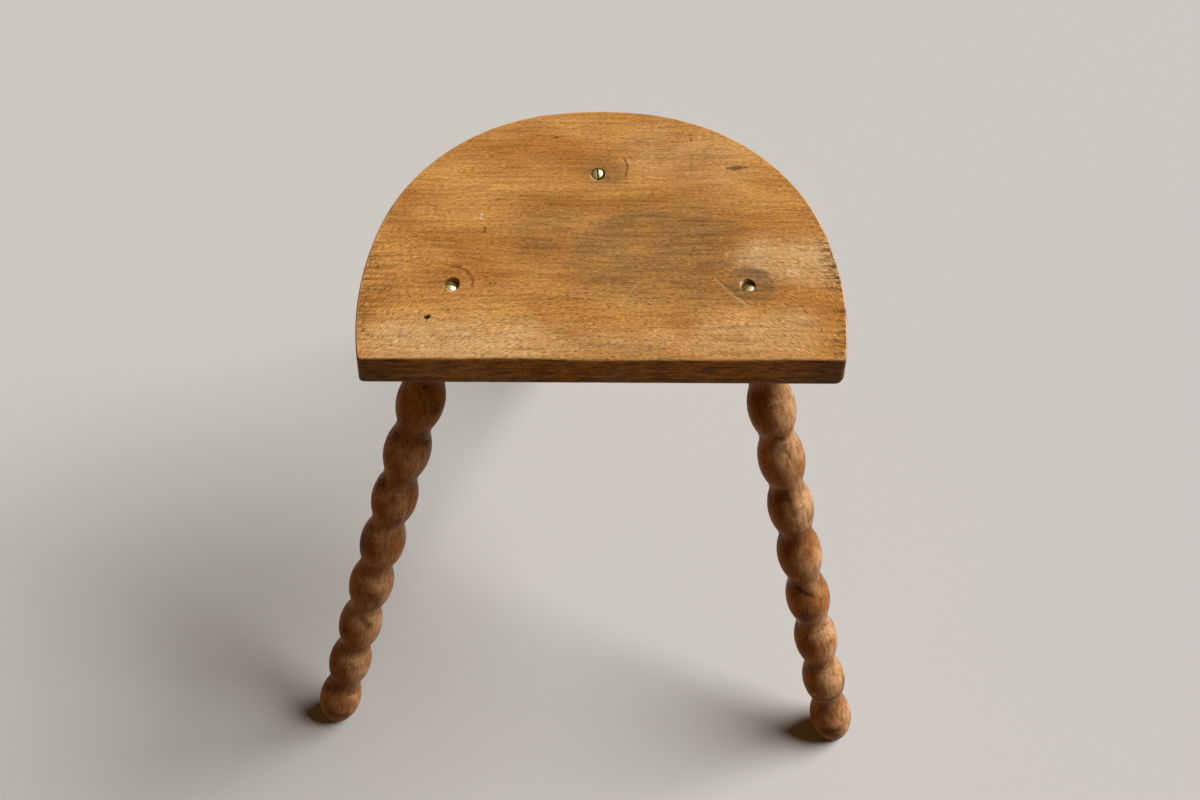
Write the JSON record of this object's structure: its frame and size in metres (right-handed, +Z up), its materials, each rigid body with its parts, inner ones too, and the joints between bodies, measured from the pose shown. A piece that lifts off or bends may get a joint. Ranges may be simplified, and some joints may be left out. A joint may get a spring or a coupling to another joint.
{
  "type": "tripod stool",
  "caption": "Low wooden stool with a thick half-moon seat board on splayed, bobbin-turned legs, each held by a recessed slotted brass screw.",
  "frame": {"origin": "on the floor, midway between the feet in X and in Y", "axes": "+Z up, +Y from the seat's straight front edge towards its rounded back, +X to the right seen from the front"},
  "size_m": [0.484, 0.5034, 0.484],
  "materials": {
    "seat_wood": "worn honey-brown wax polish",
    "leg_wood": "darker red-brown wax polish",
    "screw_brass": "tarnished"
  },
  "bodies": {
    "root": {"seat": "seat_wood", "leg_front_left": "leg_wood", "leg_front_right": "leg_wood", "leg_back": "leg_wood", "screw_front_left": "screw_brass", "screw_front_right": "screw_brass", "screw_back": "screw_brass"}
  },
  "joints": []
}
